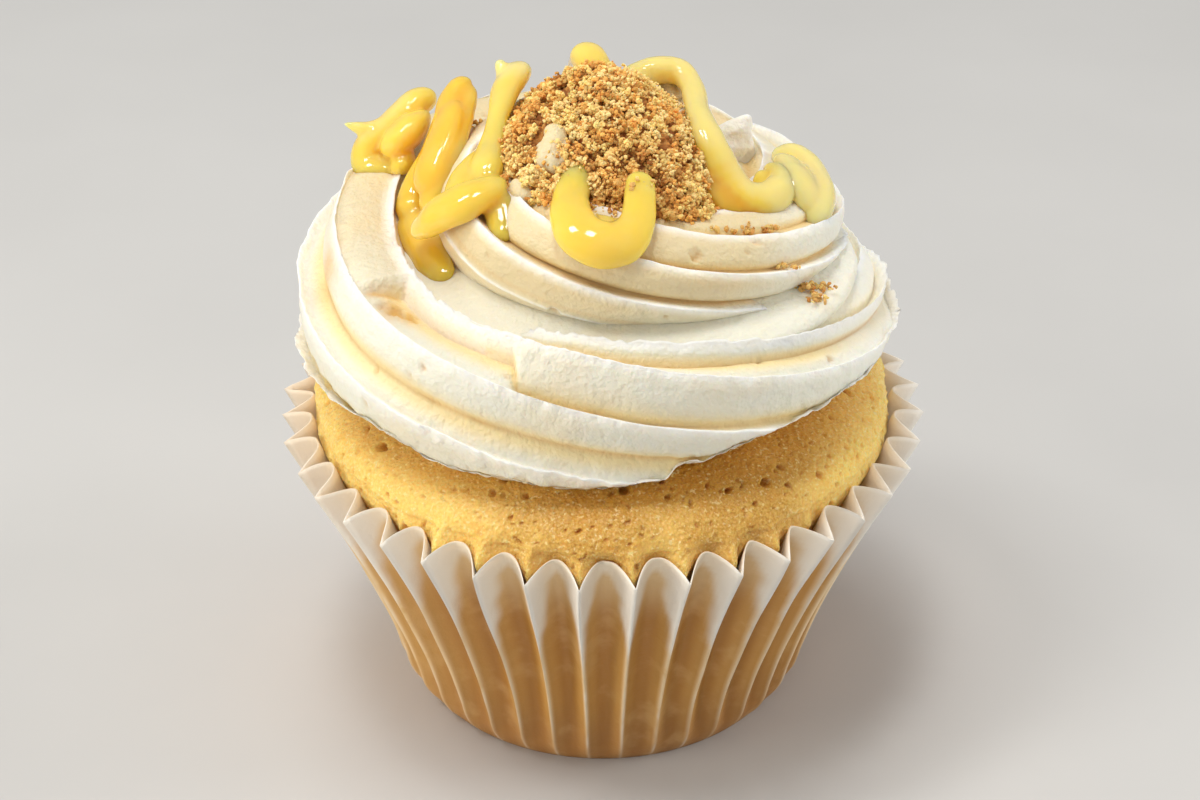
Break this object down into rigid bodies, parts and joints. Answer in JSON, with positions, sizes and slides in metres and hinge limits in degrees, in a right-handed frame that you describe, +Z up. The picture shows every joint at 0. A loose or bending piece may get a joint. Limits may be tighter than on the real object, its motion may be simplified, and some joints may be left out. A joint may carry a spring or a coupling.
{
  "type": "lemon cheesecake cupcake",
  "caption": "Golden sponge cupcake in a pleated paper case, topped with a piped swirl of cream cheese frosting, looped strands of lemon curd and a heap of biscuit crumbs.",
  "frame": {"origin": "centre of the paper case's flat base, on the surface that it stands on", "axes": "+Z up through the crown of the swirl, -Y towards the side with the U-shaped strand of curd, +X to that side's right"},
  "size_m": [0.083, 0.083, 0.0836],
  "materials": {
    "case_paper": "matte",
    "sponge_crumb": "matte, finely porous",
    "frosting": "soft satin",
    "lemon_curd": "glossy, translucent",
    "biscuit_crumbs": "matte, dry"
  },
  "bodies": {
    "root": {"paper_case": "case_paper", "sponge": "sponge_crumb", "cream_swirl": "frosting", "curd_far_left": "lemon_curd", "curd_left_loop": "lemon_curd", "curd_middle": "lemon_curd", "curd_front": "lemon_curd", "curd_right": "lemon_curd", "curd_right_lobe": "lemon_curd", "curd_back": "lemon_curd", "crumb_heap": "biscuit_crumbs"}
  },
  "joints": []
}
